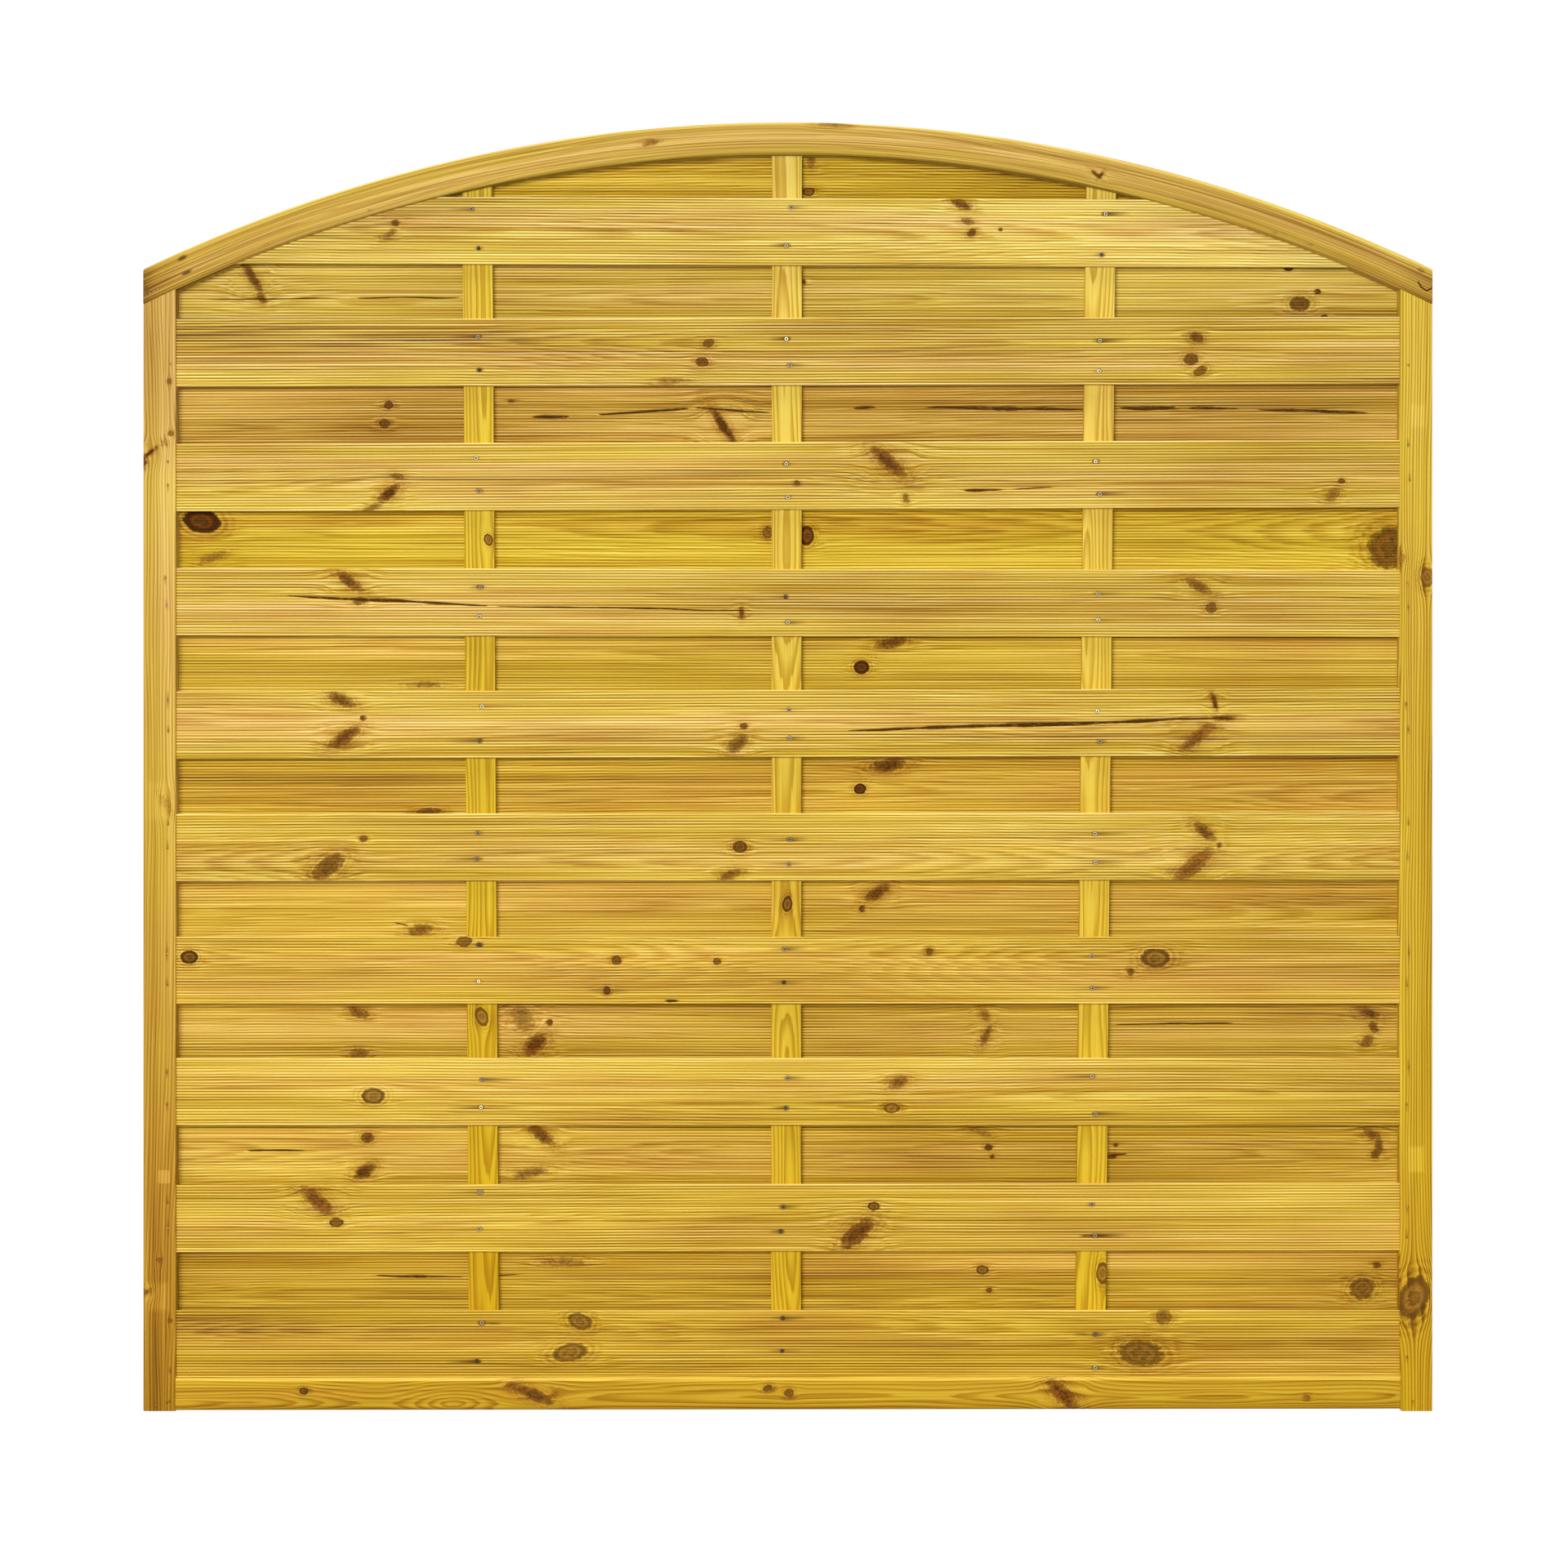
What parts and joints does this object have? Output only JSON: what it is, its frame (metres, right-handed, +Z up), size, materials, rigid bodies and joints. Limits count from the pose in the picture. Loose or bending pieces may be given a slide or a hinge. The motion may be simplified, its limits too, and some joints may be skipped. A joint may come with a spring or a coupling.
{
  "type": "privacy fence panel",
  "caption": "Framed timber fence panel with an arched top rail and staggered front and rear layers of reeded horizontal slats nailed to upright battens.",
  "frame": {"origin": "middle of the panel's base, halfway through its thickness", "axes": "X across the panel, +Y through it from the front face to the back, +Z up"},
  "size_m": [1.8, 0.045, 1.8],
  "materials": {
    "stile_timber": "planed, pressure-treated softwood",
    "arch_timber": "planed, glue-laminated, pressure-treated softwood",
    "rail_timber": "planed, pressure-treated softwood",
    "batten_timber": "planed, pressure-treated softwood",
    "front_slat_timber": "reeded, pressure-treated softwood",
    "rear_slat_timber": "reeded, pressure-treated softwood",
    "nail_steel": "galvanised, dulled",
    "pin_steel": "galvanised, dulled"
  },
  "bodies": {
    "root": {"left_stile": "stile_timber", "right_stile": "stile_timber", "arched_top_rail": "arch_timber", "bottom_rail": "rail_timber", "batten_left": "batten_timber", "batten_centre": "batten_timber", "batten_right": "batten_timber", "front_slat_01": "front_slat_timber", "front_slat_02": "front_slat_timber", "front_slat_03": "front_slat_timber", "front_slat_04": "front_slat_timber", "front_slat_05": "front_slat_timber", "front_slat_06": "front_slat_timber", "front_slat_07": "front_slat_timber", "front_slat_08": "front_slat_timber", "front_slat_09": "front_slat_timber", "front_slat_10": "front_slat_timber", "rear_slat_01": "rear_slat_timber", "rear_slat_02": "rear_slat_timber", "rear_slat_03": "rear_slat_timber", "rear_slat_04": "rear_slat_timber", "rear_slat_05": "rear_slat_timber", "rear_slat_06": "rear_slat_timber", "rear_slat_07": "rear_slat_timber", "rear_slat_08": "rear_slat_timber", "rear_slat_09": "rear_slat_timber", "rear_slat_10": "rear_slat_timber", "front_batten_nails": "nail_steel", "rear_batten_nails": "nail_steel", "front_frame_pins": "pin_steel", "rear_frame_pins": "pin_steel"}
  },
  "joints": []
}
